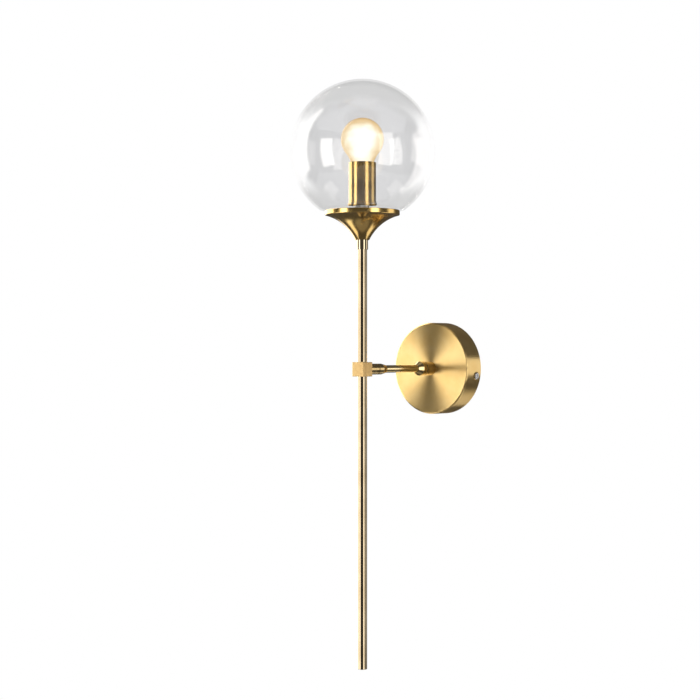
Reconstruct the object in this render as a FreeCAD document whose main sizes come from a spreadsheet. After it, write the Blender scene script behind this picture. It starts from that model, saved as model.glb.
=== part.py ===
import FreeCAD, Part
import math
import os
import Sketcher

# Globe wall light, in millimetres. The origin is on the wall, at the centre of the wall cover's back.
# +Y runs into the wall, +Z is up. The lamp stands out along -Y: a cover, an arm, a cube on the arm's
# end, and a rod through the cube that carries a flared cup, a bulb and a glass globe.

doc = FreeCAD.newDocument("globe_wall_light")

SIZES = {
    # overall layout
    "reach": 142.0,             # wall to the rod's centre line
    "rod_drop": 312.3,          # arm's height to the rod's foot
    "cup_foot": 134.7,          # arm's height to the underside of the cup
    # gaps between pieces
    "bore_gap": 0.08,           # round a tube or thread in its hole
    "rest_gap": 0.3,            # under a piece that lifts off
    # wall cover
    "cover_radius": 50.0,
    "cover_depth": 25.0,
    "cover_wall": 1.2,
    "cover_edge": 2.2,
    "dimple_radius": 4.6,
    "dimple_depth": 0.5,
    # cover screws, on a line tilted about the arm
    "screw_tilt": 9.0,
    "screw_depth": 8.0,         # from the wall
    "cover_screw_head": 3.9,
    "cover_screw_head_height": 2.0,
    "cover_screw_shank": 1.95,
    "cover_screw_length": 8.5,
    "shank_gap": 0.2,
    "cover_screw_slot": 0.4,    # half width of a slot
    # wall bracket
    "bracket_thickness": 2.0,
    "bracket_half_width": 11.0,
    "bracket_tab_depth": 14.0,
    "bracket_tab_gap": 0.9,
    "tongue_length": 40.0,
    "slot_pitch": 60.0,
    "slot_length": 14.0,
    "slot_half_width": 2.4,
    "cable_hole": 7.0,
    # terminal block
    "block_half_length": 15.0,
    "block_top": 22.0,          # below the arm's height
    "block_height": 15.0,
    "block_depth": 15.0,
    "pole_pitch": 9.5,
    "pole_radius": 2.6,
    "pole_bore": 1.7,
    "pole_screw_head": 1.9,
    "pole_screw_head_height": 1.5,
    "pole_screw_shank": 1.2,
    "pole_screw_spread": 3.7,
    "block_screw_length": 10.5,
    "pole_screw_lift": 0.3,     # head clear of its sleeve
    "pole_screw_slot": 0.3,
    "tool_over": 1.0,           # how far outside a face a drill starts
    # earth terminal
    "earth_screw_place": 16.0,
    "earth_screw_head": 3.5,
    "earth_screw_head_height": 2.4,
    "earth_screw_shank": 1.9,
    "earth_washer_radius": 4.2,
    "earth_washer_thickness": 0.8,
    "earth_screw_slot": 0.45,
    # wires
    "wire_radius": 0.8,
    "wire_spread": 1.0,         # each wire's distance from the tube's centre line
    "wire_bend": 5.0,
    "wire_in_pole": 2.0,        # end of a wire below the screw that holds it
    "wire_over_block": 4.5,
    "wire_turn_in": 7.0,        # below the arm's line, where a wire turns into the nipple
    "earth_wire_over_block": 4.0,
    "earth_wire_stand": 4.0,    # below the washer, where the earth wire meets the bracket
    "earth_wire_end": 1.5,
    # arm
    "arm_radius": 4.0,
    "arm_wall": 1.0,
    "arm_entry": 2.0,           # depth of the arm tube in the cube
    "nipple_radius": 5.0,
    "nipple_bore": 3.5,
    "nipple_inside": 6.5,       # nipple length behind the cover's face
    "nipple_outside": 12.0,     # nipple length in the plate collar
    "nut_radius": 8.0,
    "nut_height": 3.0,
    "washer_radius": 8.5,
    "washer_thickness": 1.0,
    "plate_collar_radius": 7.5,
    "plate_collar_length": 14.0,
    "plate_cone_radius": 7.75,
    "plate_cone_length": 6.3,
    "plate_cone_taper": 5.2,
    "cube_collar_radius": 5.75,
    "cube_collar_length": 14.6,
    "cube_cone_radius": 5.75,
    "cube_cone_length": 7.2,
    "cube_cone_taper": 6.8,
    "collar_edge": 0.4,
    "groove_width": 0.5,
    "groove_depth": 0.5,
    "cone_lip": 0.35,
    # cube
    "cube_side": 15.0,
    "cube_edge": 0.45,
    "cube_passage": 2.6,
    # rods
    "rod_radius": 5.0,
    "rod_wall": 1.0,
    "rod_entry": 4.5,           # depth of each rod in the cube
    "rod_in_holder": 4.5,
    "plug_head": 1.2,
    "plug_edge": 0.4,
    "plug_spigot": 7.0,
    # cup and what clamps it
    "ferrule_radius": 6.0,
    "ferrule_length": 9.8,
    "cup_foot_radius": 7.7,
    "cup_foot_edge": 0.9,
    "cup_floor": 1.3,
    "cup_wall": 1.2,
    "cup_flare": 48.8,
    "cup_height": 25.9,         # foot to the lower edge of the rim band
    "rim_radius": 39.0,
    "rim_band": 4.8,
    "rim_wall": 1.2,
    "rim_edge": 0.35,
    "seat_width": 4.4,
    "seat_rise": 0.3,           # seat above the lower edge of the rim band
    "cup_washer_radius": 6.4,
    "cup_nut_radius": 6.6,
    "cup_nut_height": 3.5,
    "cup_nut_slot": 1.6,
    "gasket_thickness": 1.2,
    "gasket_margin": 0.4,
    # globe
    "globe_radius": 75.0,
    "globe_wall": 2.0,
    "globe_neck_gap": 1.2,      # between the neck and the rim's inside
    "globe_spread": 5.8,        # from the neck out to the centre of the shoulder's bend
    "globe_shoulder": 5.0,
    "globe_fillet": 2.5,
    "globe_over_rim": 0.6,
    # lamp holder
    "sleeve_radius": 14.25,
    "sleeve_wall": 1.0,
    "sleeve_length": 41.9,
    "foot_ring_radius": 15.25,
    "foot_ring_height": 2.6,
    "foot_ring_edge": 0.4,
    "ring_over_rim": 5.5,       # foot ring's underside above the cup's rim
    "holder_nut_height": 3.5,
    "holder_radius": 12.2,
    "holder_length": 30.0,
    "holder_edge": 0.8,
    "holder_partition": 3.2,
    "holder_wire_hole": 3.2,
    "socket_gap": 0.3,
    "contact_radius": 2.5,
    "contact_thickness": 1.2,
    "spring_half_width": 2.0,
    "spring_thickness": 0.7,
    "spring_height": 16.0,
    "spring_start": 0.3,
    # bulb
    "bulb_radius": 22.4,
    "bulb_neck": 11.3,
    "bulb_fillet": 25.0,
    "bulb_glass": 0.8,
    "bulb_length": 79.3,
    "bulb_foot_round": 3.3,
    "bulb_foot_height": 22.3,   # tip of the contact to the glass's foot
    "bulb_collar": 6.0,         # how far the glass reaches down into the cap
    "cap_glass_gap": 0.1,
    "cap_radius": 6.95,
    "cap_wall": 0.3,
    "cap_thread_depth": 0.55,
    "cap_thread_pitch": 2.82,
    "cap_flange": 7.9,
    "cap_flange_height": 1.2,
    "cap_flange_slope": 0.4,
    "cap_foot": 5.0,            # tip of the contact to the cap's foot
    "tip_radius": 2.4,
    "tip_height": 1.6,
    "insulator_lip": 0.8,
    "insulator_inset": 0.2,
    "stem_radius": 2.5,
    "stem_height": 26.0,
    "stem_flare_edge": 1.5,
    "stem_flare_height": 4.0,
    "filament_ring": 7.0,
    "filament_radius": 0.6,
    "filament_height": 38.0,    # above the stem's foot
    "lead_radius": 0.4,
    "lead_gap": 0.7,
    "lead_start": 1.6,          # each lead's foot from the stem's centre
}
CROWN_SHARE = 0.35              # rounded part of a screw head, as a share of its height
SLOT_SHARE = 0.45               # depth of a slot, as a share of the head's height
CROSS_REACH = 0.55              # half length of a cross slot, as a share of the head's radius
SLOT_REACH = 1.1                # half length of a plain slot, which runs out of the head
CAP_TURNS = 4
THREAD_SHAPE = (0.12, 0.3, 0.55, 0.85)   # groove's end, crest's start and end, next groove, in pitches
TIP_FLAT = 0.6                  # flat end of the bulb's contact, as a share of its radius
BEND_ROOM = 0.45                # most of a straight run that a wire's bend may use

sheet = doc.addObject("Spreadsheet::Sheet", "sizes")
for number, (alias, value) in enumerate(SIZES.items(), start=1):
    sheet.set(f"A{number}", alias)
    sheet.set(f"B{number}", str(value))
    sheet.setAlias(f"B{number}", alias)
doc.recompute()


class Size:
    """A length: its number today, and the sheet expression that keeps it true."""

    def __init__(self, text, value):
        self.text = text
        self.value = value

    def __add__(self, other):
        other = as_size(other)
        return Size(f"({self.text} + {other.text})", self.value + other.value)

    def __sub__(self, other):
        other = as_size(other)
        return Size(f"({self.text} - {other.text})", self.value - other.value)

    def __mul__(self, other):
        other = as_size(other)
        return Size(f"({self.text} * {other.text})", self.value * other.value)

    def __truediv__(self, other):
        other = as_size(other)
        return Size(f"({self.text} / {other.text})", self.value / other.value)

    def __neg__(self):
        return as_size(0) - self

    __radd__ = __add__
    __rmul__ = __mul__

    def __rsub__(self, other):
        return as_size(other) - self


def as_size(number):
    return number if isinstance(number, Size) else Size(str(float(number)), float(number))


def root(size):
    return Size(f"sqrt({size.text})", math.sqrt(size.value))


def leg(long_side, short_side):
    """The other leg of a right triangle."""
    return root(long_side * long_side - short_side * short_side)


def cosine(angle):
    return Size(f"cos({angle.text})", math.cos(math.radians(angle.value)))


def sine(angle):
    return Size(f"sin({angle.text})", math.sin(math.radians(angle.value)))


class Sheet:
    """Each alias of the sheet as a Size."""

    def __getattr__(self, alias):
        return Size(f"sizes.{alias}", SIZES[alias])


s = Sheet()
ZERO = as_size(0)


# ---------------------------------------------------------------- drawing helpers

def bind(thing, name, size):
    thing.setExpression(name, as_size(size).text)


def place(thing, x=0, y=0, z=0):
    for letter, size in zip("xyz", (x, y, z)):
        if as_size(size).text != ZERO.text:
            bind(thing, f"Placement.Base.{letter}", size)
    return thing


def arc_centre(start, end, radius, side):
    """Centre of the short arc from start to end; side +1 bulges to the right of the way it runs."""
    middle = ((start[0] + end[0]) / 2, (start[1] + end[1]) / 2)
    run = (end[0] - start[0], end[1] - start[1])
    length = math.hypot(*run)
    height = math.sqrt(max(radius * radius - length * length / 4, 0))
    return (middle[0] - side * run[1] / length * height, middle[1] + side * run[0] / length * height)


def draw(sketch, steps):
    """A closed outline. A step is (x, y) for a line to that corner, or (x, y, radius, side) for an arc."""
    corners = [(as_size(step[0]), as_size(step[1])) for step in steps]
    ends = []
    for number, step in enumerate(steps):
        start = tuple(size.value for size in corners[number - 1])
        end = tuple(size.value for size in corners[number])
        if len(step) == 2:
            sketch.addGeometry(Part.LineSegment(FreeCAD.Vector(*start, 0), FreeCAD.Vector(*end, 0)), False)
            ends.append((1, 2))
            continue
        side = step[3]
        centre = arc_centre(start, end, step[2].value, side)
        turn_from, turn_to = start, end
        if side < 0:
            turn_from, turn_to = end, start
        first = math.atan2(turn_from[1] - centre[1], turn_from[0] - centre[0])
        last = math.atan2(turn_to[1] - centre[1], turn_to[0] - centre[0])
        if last < first:
            last += 2 * math.pi
        circle = Part.Circle(FreeCAD.Vector(*centre, 0), FreeCAD.Vector(0, 0, 1), step[2].value)
        sketch.addGeometry(Part.ArcOfCircle(circle, first, last), False)
        ends.append((1, 2) if side > 0 else (2, 1))
    for number, step in enumerate(steps):
        after = (number + 1) % len(steps)
        sketch.addConstraint(
            Sketcher.Constraint("Coincident", number, ends[number][1], after, ends[after][0]))
        across, up = corners[number]
        for kind, axis, size in (("DistanceX", -2, across), ("DistanceY", -1, up)):
            hold(sketch, kind, axis, number, ends[number][1], size)
        if len(step) > 2:
            made = sketch.addConstraint(Sketcher.Constraint("Radius", number, step[2].value))
            bind(sketch, f"Constraints[{made}]", step[2])


def hold(sketch, kind, axis, geometry, end, size):
    """Keeps one coordinate of a corner at its size."""
    if size.text == ZERO.text:
        sketch.addConstraint(Sketcher.Constraint("PointOnObject", geometry, end, axis))
    elif size.value < 0:
        made = sketch.addConstraint(Sketcher.Constraint(kind, geometry, end, -1, 1, -size.value))
        bind(sketch, f"Constraints[{made}]", -size)
    else:
        made = sketch.addConstraint(Sketcher.Constraint(kind, -1, 1, geometry, end, size.value))
        bind(sketch, f"Constraints[{made}]", size)


def sketch_on(body, role, name):
    plane = [feature for feature in body.Origin.OriginFeatures if feature.Role == role][0]
    sketch = body.newObject("Sketcher::SketchObject", name)
    sketch.AttachmentSupport = [(plane, "")]
    sketch.MapMode = "FlatFace"
    return sketch


def turned(label, steps, role="XZ_Plane"):
    """A body turned about its Z axis, or about its Y axis if its outline is on the XY plane."""
    body = doc.addObject("PartDesign::Body", label)
    body.Label = label
    sketch = sketch_on(body, role, f"{label}_outline")
    draw(sketch, steps)
    turn = body.newObject("PartDesign::Revolution", f"{label}_turn")
    turn.Profile = sketch
    turn.ReferenceAxis = (sketch, ["V_Axis"])
    turn.Angle = 360
    body.Tip = turn
    return body


def on_rod(body):
    return place(body, y=-s.reach)


def rod_ring(label, inner, outer, low, high):
    """A plain ring on the rod's line."""
    return on_rod(turned(label, [(inner, low), (outer, low), (outer, high), (inner, high)]))


def arm_ring(label, inner, outer, near, far):
    """A plain ring on the arm's line, from near to far along Y."""
    return turned(label, [(inner, near), (outer, near), (outer, far), (inner, far)], "XY_Plane")


def box(name, low, high):
    made = doc.addObject("Part::Box", name)
    for side, start, end in zip(("Length", "Width", "Height"), low, high):
        bind(made, side, as_size(end) - start)
    return place(made, *low)


TURNS = {
    "z": FreeCAD.Rotation(FreeCAD.Vector(0, 0, 1), 0),
    "x": FreeCAD.Rotation(FreeCAD.Vector(0, 1, 0), 90),
    "y": FreeCAD.Rotation(FreeCAD.Vector(1, 0, 0), -90),
    "-y": FreeCAD.Rotation(FreeCAD.Vector(1, 0, 0), 90),
}


def peg(name, radius, length, start, along="z"):
    """A cylinder that starts at a point and runs along an axis."""
    made = doc.addObject("Part::Cylinder", name)
    bind(made, "Radius", radius)
    bind(made, "Height", length)
    made.Placement = FreeCAD.Placement(FreeCAD.Vector(0, 0, 0), TURNS[along])
    return place(made, *start)


def hexagon(name, radius, height, start, along="z"):
    made = doc.addObject("Part::Prism", name)
    made.Polygon = 6
    bind(made, "Circumradius", radius)
    bind(made, "Height", height)
    made.Placement = FreeCAD.Placement(FreeCAD.Vector(0, 0, 0), TURNS[along])
    return place(made, *start)


def join(name, pieces):
    made = doc.addObject("Part::MultiFuse", name)
    made.Shapes = pieces
    made.Refine = True
    return made


def cut(label, base, tools):
    made = doc.addObject("Part::Cut", label)
    made.Base = base
    made.Tool = tools[0] if len(tools) == 1 else join(f"{label}_tools", tools)
    made.Refine = True
    made.Label = label
    return made


def group(label, pieces):
    made = doc.addObject("Part::Compound", label)
    made.Links = pieces
    made.Label = label
    return made


def face_across(thing, outward, distance, depth):
    """Stands a piece, drawn with its top at its own origin, on the cover's side at the tilted line."""
    tilt = s.screw_tilt
    thing.Placement = FreeCAD.Placement(
        FreeCAD.Vector(0, 0, 0), FreeCAD.Rotation(FreeCAD.Vector(0, 1, 0), outward * 90 + tilt.value))
    bind(thing, "Placement.Rotation.Angle", tilt + outward * 90)
    return place(thing, distance * cosine(tilt) * outward, -depth, -distance * sine(tilt) * outward)


def screw(name, head_radius, head_height, shank_radius, length, slot_half_width, crossed=False):
    """A round-headed screw, its top at the origin and its shank down -Z, with a slot or a cross."""
    crown = head_height * CROWN_SHARE
    body = turned(name, [
        (ZERO, ZERO), (ZERO, -length), (shank_radius, -length), (shank_radius, -head_height),
        (head_radius, -head_height), (head_radius, -crown), (head_radius - crown, ZERO)])
    for quarter in range(2 if crossed else 1):
        sketch = sketch_on(body, "XY_Plane", f"{name}_slot_{quarter + 1}")
        long_half = head_radius * (CROSS_REACH if crossed else SLOT_REACH)
        across, along = (slot_half_width, long_half) if quarter else (long_half, slot_half_width)
        draw(sketch, [(-across, -along), (across, -along), (across, along), (-across, along)])
        pocket = body.newObject("PartDesign::Pocket", f"{name}_cut_{quarter + 1}")
        pocket.Profile = sketch
        bind(pocket, "Length", head_height * SLOT_SHARE)
        body.Tip = pocket
    return body


# ---------------------------------------------------------------- heights along the rod

rod_bore = s.rod_radius - s.rod_wall
rod_hole = s.rod_radius + s.bore_gap
band_foot = s.cup_foot + s.cup_height
rim_top = band_foot + s.rim_band
seat = band_foot + s.seat_rise
gasket_top = seat + s.gasket_thickness
rim_inner = s.rim_radius - s.rim_wall
seat_inner = rim_inner - s.seat_width
globe_neck = rim_inner - s.globe_neck_gap
foot_ring_low = rim_top + s.ring_over_rim
holder_foot = foot_ring_low + s.foot_ring_height
rod_top = holder_foot + s.rod_in_holder
socket_floor = rod_top + s.holder_partition
contact_top = socket_floor + s.contact_thickness
bulb_tip = contact_top + s.rest_gap
cube_half = s.cube_side / 2
rod_foot = cube_half - s.rod_entry


# ---------------------------------------------------------------- wall cover and bracket

def wall_cover():
    inner = s.cover_radius - s.cover_wall
    face_inner = s.cover_depth - s.cover_wall
    edge_inner = s.cover_edge - s.cover_wall
    hole = s.nipple_radius + s.bore_gap
    shell = turned("cover_shell", [
        (hole, -s.cover_depth), (s.cover_radius - s.cover_edge, -s.cover_depth),
        (s.cover_radius, s.cover_edge - s.cover_depth, s.cover_edge, 1), (s.cover_radius, ZERO),
        (inner, ZERO), (inner, edge_inner - face_inner), (inner - edge_inner, -face_inner, edge_inner, -1),
        (hole, -face_inner)], "XY_Plane")
    tools = []
    for side, outward in (("right", 1), ("left", -1)):
        floor = s.cover_radius - s.dimple_depth
        dimple = peg(f"dimple_{side}", s.dimple_radius, s.dimple_depth * 6, (0, 0, 0))
        hole = peg(f"cover_hole_{side}", s.cover_screw_shank + s.shank_gap, s.cover_wall * 4, (0, 0, 0))
        tools.append(face_across(dimple, outward, floor, s.screw_depth))
        tools.append(face_across(hole, outward, s.cover_radius - s.cover_wall * 2, s.screw_depth))
    return cut("wall_cover", shell, tools)


def cover_screws():
    pieces = []
    top = s.cover_radius - s.dimple_depth + s.cover_screw_head_height
    for side, outward in (("right", 1), ("left", -1)):
        piece = screw(f"cover_screw_{side}", s.cover_screw_head, s.cover_screw_head_height,
                      s.cover_screw_shank, s.cover_screw_length, s.cover_screw_slot, crossed=True)
        pieces.append(face_across(piece, outward, top, s.screw_depth))
    return group("cover_screws", pieces)


def slot(name, middle):
    """A slot for a wall screw, along X."""
    half = s.slot_length / 2 - s.slot_half_width
    deep = s.bracket_thickness * 2
    pieces = [box(f"{name}_run", (middle - half, -deep, -s.slot_half_width),
                  (middle + half, deep, s.slot_half_width))]
    for number, end in enumerate((middle - half, middle + half), start=1):
        pieces.append(peg(f"{name}_end_{number}", s.slot_half_width, deep * 2, (end, -deep, 0), "y"))
    return pieces


def wall_bracket():
    wide = s.bracket_half_width
    tab_face = leg(s.cover_radius - s.cover_wall, wide) - s.bracket_tab_gap
    tab_back = tab_face - s.bracket_thickness
    thick = s.bracket_thickness
    deep = thick * 2
    pieces = [box("bracket_strap", (-tab_face, -thick, -wide), (tab_face, 0, wide)),
              box("bracket_tongue", (-wide, -thick, -s.tongue_length), (wide, 0, 0)),
              box("bracket_tab_right", (tab_back, -s.bracket_tab_depth, -wide), (tab_face, 0, wide)),
              box("bracket_tab_left", (-tab_face, -s.bracket_tab_depth, -wide), (-tab_back, 0, wide))]
    tools = slot("slot_right", s.slot_pitch / 2) + slot("slot_left", -s.slot_pitch / 2)
    tools.append(peg("bracket_cable_hole", s.cable_hole, deep * 2, (0, -deep, 0), "y"))
    tools.append(peg("bracket_earth_hole", s.earth_screw_shank + s.bore_gap, deep * 2,
                     (s.earth_screw_place, -deep, 0), "y"))
    tools.append(peg("bracket_block_hole", s.pole_screw_shank + s.bore_gap, deep * 2,
                     (block_screw_x(), -deep, block_middle()), "y"))
    for side, outward in (("right", 1), ("left", -1)):
        hole = peg(f"tab_hole_{side}", s.cover_screw_shank + s.bore_gap, s.cover_screw_length * 2, (0, 0, 0))
        tools.append(face_across(hole, outward, tab_face - s.cover_screw_length, s.screw_depth))
    return cut("wall_bracket", join("bracket_blank", pieces), tools)


# ---------------------------------------------------------------- terminal block and earth

def block_middle():
    return -s.block_top - s.block_height / 2


def block_screw_x():
    return -s.pole_pitch / 2


def pole_depth():
    """How far out from the wall the poles' centre line lies."""
    return s.bracket_thickness + s.block_depth / 2


def pole_places():
    return [("left", -s.pole_pitch), ("middle", ZERO), ("right", s.pole_pitch)]


def terminal_block():
    front = s.bracket_thickness + s.block_depth
    body = box("block_blank", (-s.block_half_length, -front, -s.block_top - s.block_height),
               (s.block_half_length, -s.bracket_thickness, -s.block_top))
    tools = []
    for side, x in pole_places():
        tools.append(peg(f"block_pole_{side}", s.pole_radius + s.bore_gap, s.block_height * 2,
                         (x, -pole_depth(), -s.block_top - s.block_height * 1.5)))
        for level, up in (("upper", 1), ("lower", -1)):
            z = block_middle() + s.pole_screw_spread * up
            tools.append(peg(f"block_well_{side}_{level}", s.pole_screw_head + s.shank_gap,
                             s.block_depth / 2 + s.tool_over, (x, -front - s.tool_over, z), "y"))
    tools.append(peg("block_fixing_hole", s.pole_screw_shank + s.bore_gap, s.block_depth * 2,
                     (block_screw_x(), -front - s.block_depth / 2, block_middle()), "y"))
    tools.append(peg("block_fixing_well", s.pole_screw_head + s.bore_gap, s.block_depth / 2 + s.tool_over,
                     (block_screw_x(), -front - s.tool_over, block_middle()), "y"))
    return cut("terminal_block", body, tools)


def terminal_sleeves():
    pieces = []
    for side, x in pole_places():
        low = -s.block_top - s.block_height
        blank = peg(f"sleeve_blank_{side}", s.pole_radius, s.block_height, (x, -pole_depth(), low))
        tools = [peg(f"sleeve_bore_{side}", s.pole_bore, s.block_height * 2,
                     (x, -pole_depth(), low - s.block_height / 2))]
        for level, up in (("upper", 1), ("lower", -1)):
            z = block_middle() + s.pole_screw_spread * up
            tools.append(peg(f"sleeve_tap_{side}_{level}", s.pole_screw_shank + s.bore_gap,
                             s.pole_radius * 2, (x, -pole_depth() - s.pole_radius * 2, z), "y"))
        pieces.append(cut(f"terminal_sleeve_{side}", blank, tools))
    return group("terminal_sleeves", pieces)


def facing_out(body, x, depth, z):
    """Turns a screw to point into the wall, its head's top at that distance from the wall."""
    body.Placement = FreeCAD.Placement(FreeCAD.Vector(0, 0, 0), TURNS["-y"])
    return place(body, x, -depth, z)


def terminal_screws():
    """Six screws: each upper one stops on its wire, each lower one waits for the supply."""
    pieces = []
    top = pole_depth() + s.pole_radius + s.pole_screw_head_height + s.pole_screw_lift
    for side, x in pole_places():
        for level, up in (("upper", 1), ("lower", -1)):
            reach_in = top - pole_depth() - s.wire_radius - s.bore_gap
            piece = screw(f"terminal_screw_{side}_{level}", s.pole_screw_head, s.pole_screw_head_height,
                          s.pole_screw_shank, reach_in, s.pole_screw_slot)
            pieces.append(facing_out(piece, x, top, block_middle() + s.pole_screw_spread * up))
    return group("terminal_screws", pieces)


def block_screw():
    top = pole_depth() + s.pole_screw_head_height
    body = screw("block_screw", s.pole_screw_head, s.pole_screw_head_height, s.pole_screw_shank,
                 s.block_screw_length, s.pole_screw_slot)
    return facing_out(body, block_screw_x(), top, block_middle())


def earth_parts():
    """The screw pinches the wire between its washer and the bracket."""
    washer_low = s.bracket_thickness + s.wire_radius * 2
    washer_high = washer_low + s.earth_washer_thickness
    hole = s.earth_screw_shank + s.bore_gap
    blank = peg("earth_washer_blank", s.earth_washer_radius, s.earth_washer_thickness,
                (s.earth_screw_place, -washer_high, 0), "y")
    cut("earth_washer", blank, [peg("earth_washer_hole", hole, s.earth_washer_thickness * 4,
                                    (s.earth_screw_place, -washer_high - s.earth_washer_thickness, 0), "y")])
    top = washer_high + s.earth_screw_head_height
    body = screw("earth_screw", s.earth_screw_head, s.earth_screw_head_height, s.earth_screw_shank,
                 top - s.bore_gap, s.earth_screw_slot)
    facing_out(body, s.earth_screw_place, top, ZERO)


# ---------------------------------------------------------------- arm

def arm():
    face = s.cover_depth
    face_inner = face - s.cover_wall
    nipple_hole = s.nipple_radius + s.bore_gap
    arm_hole = s.arm_radius + s.bore_gap
    nipple_far = face + s.nipple_outside
    arm_ring("plate_nipple", s.nipple_bore, s.nipple_radius, -nipple_far, s.nipple_inside - face_inner)
    arm_ring("plate_washer", nipple_hole, s.washer_radius, -face_inner, s.washer_thickness - face_inner)
    nut = hexagon("plate_nut_blank", s.nut_radius, s.nut_height, (0, s.washer_thickness - face_inner, 0), "y")
    cut("plate_nut", nut, [peg("plate_nut_hole", nipple_hole, s.nut_height * 3,
                               (0, -face_inner - s.nut_height, 0), "y")])
    # collar on the cover, with a nose that leaves a groove before the cone
    edge = s.collar_edge
    collar_far = face + s.plate_collar_length
    nose = collar_far + s.groove_width
    turned("plate_collar", [
        (nipple_hole, -face), (s.plate_collar_radius, -face),
        (s.plate_collar_radius, edge - collar_far), (s.plate_collar_radius - edge, -collar_far),
        (s.plate_collar_radius - s.groove_depth - edge, -collar_far),
        (s.plate_collar_radius - s.groove_depth - edge, -nose),
        (arm_hole, -nose), (arm_hole, -nipple_far), (nipple_hole, -nipple_far)], "XY_Plane")
    cone_far = nose + s.plate_cone_length
    tip = cone_far + s.plate_cone_taper
    turned("plate_cone", [
        (arm_hole, -nose), (s.plate_cone_radius - edge, -nose), (s.plate_cone_radius, -nose - edge),
        (s.plate_cone_radius, -cone_far), (s.arm_radius + s.cone_lip, -tip), (arm_hole, -tip)], "XY_Plane")
    # collar at the cube, with the same groove and a slimmer cone
    cube_face = s.reach - cube_half
    collar_end = cube_face - s.cube_collar_length
    nose_end = collar_end - s.groove_width
    turned("cube_collar", [
        (arm_hole, -cube_face), (s.cube_collar_radius, -cube_face),
        (s.cube_collar_radius, -collar_end - edge), (s.cube_collar_radius - edge, -collar_end),
        (s.cube_collar_radius - s.groove_depth - edge, -collar_end),
        (s.cube_collar_radius - s.groove_depth - edge, -nose_end), (arm_hole, -nose_end)], "XY_Plane")
    cone_end = nose_end - s.cube_cone_length
    tip_end = cone_end - s.cube_cone_taper
    turned("cube_cone", [
        (arm_hole, -nose_end), (s.cube_cone_radius - edge, -nose_end), (s.cube_cone_radius, edge - nose_end),
        (s.cube_cone_radius, -cone_end), (s.arm_radius + s.cone_lip, -tip_end), (arm_hole, -tip_end)],
        "XY_Plane")
    arm_ring("arm_tube", s.arm_radius - s.arm_wall, s.arm_radius, -cube_face - s.arm_entry, -nipple_far)


# ---------------------------------------------------------------- cube and rods

def cube_joint():
    body = doc.addObject("PartDesign::Body", "cube_blank")
    sketch = sketch_on(body, "XY_Plane", "cube_outline")
    draw(sketch, [(-cube_half, -cube_half), (cube_half, -cube_half), (cube_half, cube_half),
                  (-cube_half, cube_half)])
    pad = body.newObject("PartDesign::Pad", "cube_pad")
    pad.Profile = sketch
    pad.Midplane = True
    bind(pad, "Length", s.cube_side)
    body.Tip = pad
    doc.recompute()
    ease = body.newObject("PartDesign::Fillet", "cube_ease")
    ease.Base = (pad, [""])
    ease.UseAllEdges = True
    bind(ease, "Radius", s.cube_edge)
    body.Tip = ease
    on_rod(body)
    side = s.cube_side
    tools = [peg("cube_passage_up", rod_bore, side * 2, (0, -s.reach, -side)),
             peg("cube_bore_top", rod_hole, side, (0, -s.reach, rod_foot)),
             peg("cube_bore_foot", rod_hole, side, (0, -s.reach, -rod_foot - side)),
             peg("cube_passage_back", s.cube_passage, side, (0, -s.reach, 0), "y"),
             peg("cube_bore_back", s.arm_radius + s.bore_gap, side,
                 (0, cube_half - s.arm_entry - s.reach, 0), "y")]
    return cut("cube_joint", body, tools)


def rods():
    rod_ring("upper_rod", rod_bore, s.rod_radius, rod_foot, rod_top)
    rod_ring("lower_rod", rod_bore, s.rod_radius, s.plug_head - s.rod_drop, -rod_foot)
    foot = -s.rod_drop
    on_rod(turned("rod_plug", [
        (ZERO, foot), (s.rod_radius - s.plug_edge, foot), (s.rod_radius, foot + s.plug_edge, s.plug_edge, 1),
        (s.rod_radius, foot + s.plug_head), (rod_bore - s.bore_gap, foot + s.plug_head),
        (rod_bore - s.bore_gap, foot + s.plug_head + s.plug_spigot),
        (ZERO, foot + s.plug_head + s.plug_spigot)]))


# ---------------------------------------------------------------- cup and globe

def cup_parts():
    rod_ring("cup_ferrule", rod_hole, s.ferrule_radius, s.cup_foot - s.ferrule_length, s.cup_foot)
    edge = s.rim_edge
    floor = s.cup_foot + s.cup_floor
    foot = s.cup_foot + s.cup_foot_edge
    on_rod(turned("cup", [
        (rod_hole, s.cup_foot), (s.cup_foot_radius - s.cup_foot_edge / 2, s.cup_foot),
        (s.cup_foot_radius, foot),
        (s.rim_radius - edge, band_foot, s.cup_flare, -1),
        (s.rim_radius, band_foot + edge), (s.rim_radius, rim_top - edge), (s.rim_radius - edge, rim_top),
        (rim_inner, rim_top), (rim_inner, seat), (seat_inner, seat),
        (s.cup_washer_radius + s.shank_gap, floor, s.cup_flare + s.cup_wall, 1), (rod_hole, floor)]))
    washer_top = floor + s.washer_thickness
    rod_ring("cup_washer", rod_hole, s.cup_washer_radius, floor, washer_top)
    nut = rod_ring("cup_nut_blank", rod_hole, s.cup_nut_radius, washer_top, washer_top + s.cup_nut_height)
    half = s.cup_nut_slot / 2
    cut("cup_nut", nut, [box("cup_nut_slot_cut",
                             (-s.cup_nut_radius * 2, -s.reach - half, washer_top + s.cup_nut_height / 2),
                             (s.cup_nut_radius * 2, half - s.reach, washer_top + s.cup_nut_height * 2))])
    rod_ring("globe_gasket", seat_inner + s.gasket_margin, rim_inner - s.gasket_margin, seat, gasket_top)


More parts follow.
